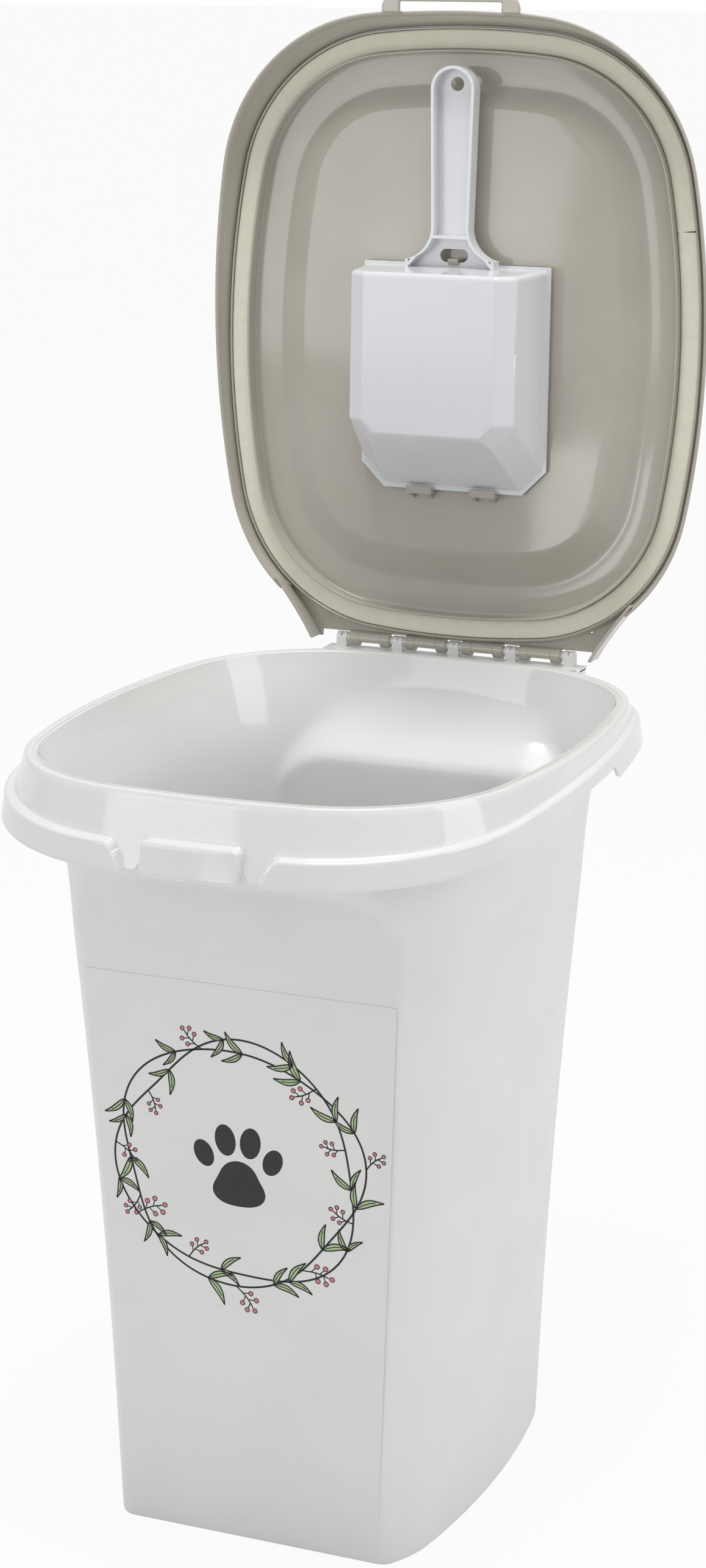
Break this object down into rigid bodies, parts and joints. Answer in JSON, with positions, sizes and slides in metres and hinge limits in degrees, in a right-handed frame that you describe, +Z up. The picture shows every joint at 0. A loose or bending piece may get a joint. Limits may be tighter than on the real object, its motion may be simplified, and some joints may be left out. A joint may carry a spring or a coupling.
{
  "type": "pet food bin",
  "caption": "Tapered dry-food bin with flat front and rear, an overhanging rim, a hinged lid with a foam seal, and a scoop clipped under the lid.",
  "frame": {"origin": "centre of the tub's underside, on the surface it stands on", "axes": "+Z up, -Y towards the front with the label, +Y towards the hinge, +X to the right seen from the front"},
  "size_m": [0.3398, 0.4307, 0.9033],
  "materials": {
    "tub_plastic": "white moulded polypropylene, semi-gloss",
    "label_film": "thin printed film",
    "lid_plastic": "warm grey moulded polypropylene",
    "seal_foam": "cream closed-cell foam",
    "scoop_plastic": "cool white moulded polypropylene, glossy"
  },
  "bodies": {
    "tub": {"bin_body": "tub_plastic", "front_label": "label_film"},
    "lid": {"lid": "lid_plastic", "seal_strip": "seal_foam", "scoop_catch": "lid_plastic", "scoop_holders": "lid_plastic"},
    "scoop": {"scoop": "scoop_plastic"}
  },
  "joints": [
    {"name": "lid_hinge", "type": "hinge", "parent": "tub", "child": "lid", "pos_m": [0, 0.2026, 0.4848], "axis": [1, 0, 0], "range_deg": [0, 92]},
    {"name": "scoop_slide", "type": "slide", "parent": "lid", "child": "scoop", "axis": [0, -0.5446, 0.8387], "range_m": [0, 0.0075], "deforming": ["scoop_catch"]}
  ]
}
